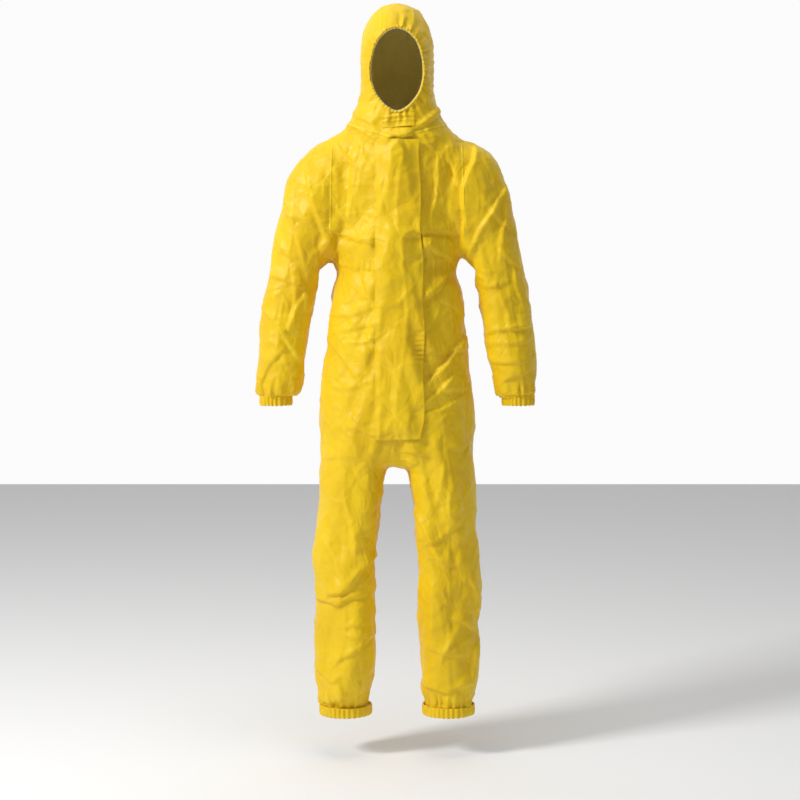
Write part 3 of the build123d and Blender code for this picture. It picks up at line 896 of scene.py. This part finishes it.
def patch(name, cast_point, us, vs, outer, inner, thickness=0.0008):
    """A sheet over a grid of (u, v), each point placed by a function of both."""
    points = [cast_point(u, v) for v in vs for u in us]
    return sheet_grid(name, points, len(vs), len(us), outer, inner, thickness)


def inside_point(tree, origin, direction, depth):
    """A point just inside the skin, found by looking outwards from the middle."""
    hit = cast(tree, origin, direction, np.array(origin) + 0.11 * np.array(direction))
    return hit - np.array(direction) * depth


def build_inside_trims(tree):
    """Waist elastic, neck label and the welded tapes over the side seams, all inside the trunk."""
    turns = np.linspace(math.radians(12), math.radians(168), 130)

    def waist_point(turn, v):
        out = (math.cos(turn), math.sin(turn), 0)
        pleat = 0.0011 * math.sin(turn * 95)
        return inside_point(tree, (0, 0, v), out, 0.0032 + pleat)

    band = patch("waist_elastic_band", waist_point, turns, np.linspace(-0.317, -0.293, 9), CREAM, CREAM, 0.0009)
    finish_trim(band, "root", "elastic", "waist_elastic")

    def label_point(u, v):
        return inside_point(tree, (u, 0, v), (0, 1, 0), 0.0028)

    label = patch("neck_label_patch", label_point, np.linspace(-0.028, 0.028, 16),
                  np.linspace(-0.062, -0.026, 12), LABEL, LABEL)
    finish_trim(label, "root", "label", "neck_label")
    for side, s in (("left", 1), ("right", -1)):
        def tape_point(u, v):
            return inside_point(tree, (0, u, v), (s, 0, 0), 0.0024)

        tape = patch(f"side_seam_weld_{side}", tape_point, np.linspace(-0.011, 0.011, 5),
                     np.linspace(-0.640, -0.290, 90), SEAM, SEAM, 0.0005)
        finish_trim(tape, "root", "seam_tape", f"side_seam_tape_{side}")


def hem_ring(name, centre, top, bottom, radius, pleats, material):
    """A turned-up casing round an elastic: two welded channels, gathered into uneven pleats."""
    columns = pleats * 9
    middle = (top + bottom) / 2
    half = (top - bottom) / 2
    profile = []
    for t in np.linspace(0, 2 * math.pi, 22, endpoint=False):
        outward = math.copysign(abs(math.cos(t)) ** 0.6, math.cos(t))
        profile.append((outward, math.sin(t)))
    points = []
    for out, up in profile:
        for c in range(columns):
            turn = c * 2 * math.pi / columns
            drift = 0.8 * math.sin(3 * turn + 1) + 0.5 * math.sin(5 * turn + 2)
            pleat = math.sin(pleats * turn + 1.6 * drift)
            channel = -0.0007 * math.exp(-((up - 0.25) / 0.12) ** 2) * max(out, 0)
            r = radius + 0.0016 * out + 0.0013 * pleat * (0.6 + 0.4 * out) + channel
            wave_z = 0.0010 * math.sin(pleats * turn + 1.6 * drift + 1.2) * (up < 0)
            points.append((centre[0] + r * math.cos(turn), centre[1] + r * math.sin(turn),
                           middle + half * up + wave_z))
    rows = len(profile)
    faces = grid_faces(rows, columns, True)
    faces += closing_faces(rows, columns)
    obj = new_object(name, points, [f[::-1] for f in faces], material)
    shade_smooth(obj)
    return obj


def build_hems():
    """A casing round each wrist and ankle, with its elastic band inside."""
    for side, s in (("left", 1), ("right", -1)):
        for joint, body, centre, top, bottom, radius, pleats in (
                ("wrist", "forearm", (s * WRIST_X, 0), WRIST_TOP, WRIST_BOTTOM, 0.0372, 24),
                ("ankle", "shin", (s * ANKLE_X, ANKLE_Y), ANKLE_TOP, ANKLE_BOTTOM, 0.0614, 34)):
            casing = hem_ring(f"{side}_{joint}_casing", centre, top + 0.006, bottom, radius, pleats, YELLOW)
            finish_trim(casing, f"{side}_{body}", "laminate", f"{side}_{joint}_hem")
            band = hem_ring(f"{side}_{joint}_elastic_band", centre, top - 0.001, bottom + 0.004,
                            radius - 0.0030, pleats, CREAM)
            finish_trim(band, f"{side}_{body}", "elastic", f"{side}_{joint}_elastic")


def loop_tube(name, path, radii, material, segments=10, pleat=0.0, pleats=60):
    """A closed tube round a loop of points, flattened by its two radii and gathered into pleats."""
    path = np.array(path)
    along = np.roll(path, -1, 0) - np.roll(path, 1, 0)
    along /= np.linalg.norm(along, axis=1, keepdims=True)
    middle = path.mean(0)
    out = path - middle
    out -= (out * along).sum(1, keepdims=True) * along
    out /= np.linalg.norm(out, axis=1, keepdims=True)
    up = np.cross(along, out)
    points = []
    for k in range(segments):
        turn = k * 2 * math.pi / segments
        for i, (p, o, u) in enumerate(zip(path, out, up)):
            phase = i * 2 * math.pi / len(path)
            bulge = 1 + pleat * math.sin(pleats * phase + 1.4 * math.sin(3 * phase))
            points.append(p + (o * radii[0] * math.cos(turn) + u * radii[1] * math.sin(turn)) * bulge)
    columns = len(path)
    faces = grid_faces(segments, columns, True)
    faces += closing_faces(segments, columns)
    obj = new_object(name, points, faces, material)
    shade_smooth(obj)
    return obj


def build_face_rim(tree):
    """The hood's gathered casing at the face, and the covered elastic at its very edge."""
    outline = face_outline(360)
    middle = np.array((0.0, FACE_MIDDLE))
    depth = []
    for x, z in outline:
        away = np.array((x, z)) - middle
        probe = np.array((x, z)) + away / np.linalg.norm(away) * 0.004
        depth.append(cast(tree, (probe[0], -0.5, probe[1]), (0, 1, 0), (x, -0.095, z))[1])
    # The middle value of the neighbours drops the few rays that went in through the opening.
    depth = np.median([np.roll(depth, shift) for shift in range(-8, 9)], axis=0)
    for _ in range(12):
        depth = (np.roll(depth, 1) + 2 * depth + np.roll(depth, -1)) / 4
    rim = [(x * 1.01, y + 0.001, FACE_MIDDLE + (z - FACE_MIDDLE) * 1.01)
           for (x, z), y in zip(outline, depth)]
    casing = loop_tube("hood_face_rim", rim, (0.0032, 0.0030), YELLOW, 12, 0.22, 62)
    finish_trim(casing, "hood", "laminate", "hood_face_casing")
    edge = [(x * 0.965, y + 0.0022, FACE_MIDDLE + (z - FACE_MIDDLE) * 0.975)
            for (x, z), y in zip(outline, depth)]
    elastic = loop_tube("hood_elastic_edge", edge, (0.0012, 0.0017), CREAM, 8, 0.16, 62)
    finish_trim(elastic, "hood", "elastic", "hood_face_elastic")


def build_chin_flap(tree):
    """Small flap with a double fold, closing over the top of the storm flap line."""
    def cover_point(u, v):
        y = min(front_depth(tree, u, v), CHIN_LOW[1] + 0.006)
        fold = 0.0022 * bell(v, 0.044, 0.0032) + 0.0018 * bell(v, 0.035, 0.003)
        front = max(y - 0.0030 - fold - 0.001 * math.sin(u * 90), CAD_BOX[0][1])
        return (u, front, v + 0.0025 * math.sin(u * 40))

    cover = patch("chin_flap_cover", cover_point, np.linspace(CHIN_LOW[0], CHIN_HIGH[0], 60),
                  np.linspace(CHIN_LOW[2], CHIN_HIGH[2], 44), YELLOW, INSIDE, 0.0010)
    finish_trim(cover, "chin_flap", "laminate", "chin_flap")

    def tape_point(u, v):
        return (u, min(front_depth(tree, u, v), CHIN_LOW[1] + 0.006) - 0.0014, v)

    tape = patch("chin_flap_adhesive", tape_point, np.linspace(CHIN_HIGH[0] - 0.018, CHIN_HIGH[0] - 0.005, 12),
                 np.linspace(CHIN_LOW[2] + 0.006, CHIN_HIGH[2] - 0.006, 24), PAPER, PAPER, 0.0004)
    finish_trim(tape, "chin_flap", "adhesive", "chin_flap_tape")


def build_flap_strip():
    """The release paper over the adhesive, just under the free edge of the storm flap."""
    rows = slice(20, 216)
    columns = slice(31, 36)
    x, y, z = flap_x[rows, columns], flap_depth[rows, columns] + 0.0020, flap_z[rows, columns]
    points = np.column_stack([x.ravel(), y.ravel(), z.ravel()])
    strip = sheet_grid("flap_release_paper", points, x.shape[0], x.shape[1], PAPER, PAPER, 0.0004)
    finish_trim(strip, "flap", "adhesive", "flap_adhesive_strip")


COIL_PITCH, COIL_SIDES, COIL_STEPS = 0.0021, 6, 12      # one turn of a coil, and the faces along and round it


def build_zip():
    """Coil zip under the flap: woven tapes with welded edges, and the two interlocked coils."""
    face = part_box("zip_teeth_left")[0][1]
    for side, s in (("left", 1), ("right", -1)):
        def tape_point(u, v):
            return (s * u, face + 0.0014 + 0.0006 * (abs(u - 0.009) > 0.004) - 0.00025 * math.sin(u * 5200), v)

        us = np.linspace(0.0006, 0.0148, 16)[::s]
        tape = patch(f"zip_tape_weave_{side}", tape_point, us,
                     np.linspace(ZIP_BOTTOM - 0.018, ZIP_TOP + 0.004, 60), ZIP_TAPE, ZIP_TAPE, 0.0005)
        finish_trim(tape, "root", "zip_tape", f"zip_tape_{side}")
        points, faces = [], []
        turns = int((ZIP_TOP - ZIP_BOTTOM) / COIL_PITCH)
        for turn in range(turns):
            z0 = ZIP_BOTTOM + turn * COIL_PITCH + (0.5 * COIL_PITCH if s < 0 else 0)
            base = len(points)
            for k in range(COIL_STEPS):
                angle = k * 2 * math.pi / COIL_STEPS
                centre = (s * (0.0014 + 0.0013 * math.cos(angle)), face + 0.0008 + 0.0009 * math.sin(angle),
                          z0 + 0.0004 * math.sin(angle))
                for m in range(COIL_SIDES):
                    around = m * 2 * math.pi / COIL_SIDES
                    points.append((centre[0] + 0.00042 * math.cos(around) * math.cos(angle),
                                   centre[1] + 0.00042 * math.cos(around) * math.sin(angle),
                                   centre[2] + 0.00055 * math.sin(around)))
            for k in range(COIL_STEPS):
                for m in range(COIL_SIDES):
                    a, b = base + k * COIL_SIDES, base + (k + 1) % COIL_STEPS * COIL_SIDES
                    n = (m + 1) % COIL_SIDES
                    faces.append((a + m, a + n, b + n, b + m))
        coil = new_object(f"zip_coil_{side}", points, faces, ZIP_COIL)
        shade_smooth(coil)
        finish_trim(coil, "root", "zip_coil", f"zip_teeth_{side}")
    for name in ("zip_slider", "zip_pull", "zip_bottom_stop"):
        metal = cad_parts[name]
        metal.data.materials.clear()
        metal.data.materials.append(ZIP_METAL)


def seam_line(name, tree, starts, aims, width=0.0022, proud=0.0010):
    """A raised weld line on the skin, found by looking at it from outside along given directions."""
    line, lifts = [], []
    for start, aim in zip(starts, aims):
        hit, normal = tree.ray_cast(Vector(start), Vector(aim))[:2]
        if hit is None or normal.dot(Vector(aim)) > 0:
            continue
        line.append(np.array(hit))
        lifts.append(np.array(normal))
    if len(line) < 4:
        return None
    line, lifts = np.array(line), np.array(lifts)
    for _ in range(3):
        lifts[1:-1] = (lifts[:-2] + lifts[1:-1] * 2 + lifts[2:]) / 4
    lifts /= np.linalg.norm(lifts, axis=1, keepdims=True)
    along = np.gradient(line, axis=0)
    across = np.cross(along, lifts)
    across /= np.linalg.norm(across, axis=1, keepdims=True)
    return ribbon(name, line, across, width, lifts * proud, SEAM)


def build_seams(tree):
    """Weld lines: neck seam, hood seams, armholes and the gusset's cross seams."""
    xs = np.linspace(-0.118, 0.118, 120)
    starts = [(x, -0.6, neck_height(x, -0.1)) for x in xs]
    neck = seam_line("neck_seam", tree, starts, [(0, 1, 0)] * len(xs), 0.0028, 0.0014)
    if neck:
        finish_trim(neck, "root", "seam_tape")
    for side, s in (("left", 1), ("right", -1)):
        turns = np.linspace(math.radians(28), math.radians(172), 130)
        starts = [(s * 0.038, -0.6 * math.cos(t), 0.14 + 0.6 * math.sin(t)) for t in turns]
        aims = [(0, math.cos(t), -math.sin(t)) for t in turns]
        crown = seam_line(f"hood_seam_{side}", tree, starts, aims)
        if crown:
            finish_trim(crown, "hood_skin", "seam_tape")
        for face_name, y in (("front", -1), ("back", 1)):
            zs = np.linspace(-0.225, -0.004, 90)
            starts = [(s * armhole_x(z), y * 0.6, z) for z in zs]
            arm = seam_line(f"armhole_seam_{face_name}_{side}", tree, starts, [(0, -y, 0)] * len(zs))
            if arm:
                finish_trim(arm, "root", "seam_tape")
    for level in (-0.735, -0.754):
        xs = np.linspace(-0.034, 0.034, 24)
        starts = [(x, -0.6, level) for x in xs]
        name = f"gusset_seam_{int(-level * 1000)}"
        cross = seam_line(name, tree, starts, [(0, 1, 0)] * len(xs), 0.0016, 0.0008)
        if cross:
            finish_trim(cross, "root", "seam_tape")


build_inside_trims(tree)
build_hems()
build_face_rim(tree)
build_chin_flap(tree)
build_flap_strip()
build_zip()
build_seams(tree)


# ---------------------------------------------------------------- camera, light and floor
CAMERA_DISTANCE, CAMERA_HEIGHT, AIM_HEIGHT, AIM_X = 4.50, -0.33, -0.620, 0.007


def add_camera():
    data = bpy.data.cameras.new("camera")
    data.lens, data.sensor_width = 85.0, 36.0
    camera = bpy.data.objects.new("camera", data)
    bpy.context.collection.objects.link(camera)
    camera.location = (AIM_X, -CAMERA_DISTANCE, CAMERA_HEIGHT)
    aim = Vector((AIM_X, 0, AIM_HEIGHT)) - camera.location
    camera.rotation_euler = aim.to_track_quat("-Z", "Y").to_euler()
    bpy.context.scene.camera = camera


def area_light(name, place, aim, size, power):
    data = bpy.data.lights.new(name, "AREA")
    data.shape, data.size, data.energy = "SQUARE", size, power
    lamp = bpy.data.objects.new(name, data)
    bpy.context.collection.objects.link(lamp)
    lamp.location = place
    lamp.rotation_euler = (Vector(aim) - Vector(place)).to_track_quat("-Z", "Y").to_euler()


def add_studio():
    """Even studio light with a brighter key from the front left, and a pale floor."""
    world = bpy.data.worlds.new("studio")
    world.use_nodes = True
    back = world.node_tree.nodes["Background"]
    back.inputs["Color"].default_value = (1, 1, 1, 1)
    direction = node(world.node_tree, "ShaderNodeTexCoord").outputs["Generated"]
    toward = node(world.node_tree, "ShaderNodeSeparateXYZ", {"Vector": direction}).outputs["Y"]
    sweep = node(world.node_tree, "ShaderNodeMapRange", {"Value": toward, "From Min": 0.1, "From Max": 0.7,
                                                         "To Min": 0.24, "To Max": 0.97})
    world.node_tree.links.new(sweep.outputs["Result"], back.inputs["Strength"])
    bpy.context.scene.world = world
    bpy.context.scene.view_settings.view_transform = "Standard"
    area_light("key", (-3.3, -2.3, 1.9), (0, 0, -0.5), 1.0, 160)
    area_light("fill", (2.6, -2.8, 0.4), (0, 0, -0.6), 2.2, 5)
    area_light("top", (0, -0.6, 2.6), (0, 0, -0.4), 1.4, 26)
    corners = [(-6, -6, FLOOR_Z), (6, -6, FLOOR_Z), (6, 6, FLOOR_Z), (-6, 6, FLOOR_Z)]
    floor = new_object("floor", corners, [(0, 1, 2, 3)])
    made, tree_nodes, shader = material("floor_paint", (0.93, 0.93, 0.93), 0.85)
    floor.data.materials.append(made)


add_camera()
add_studio()
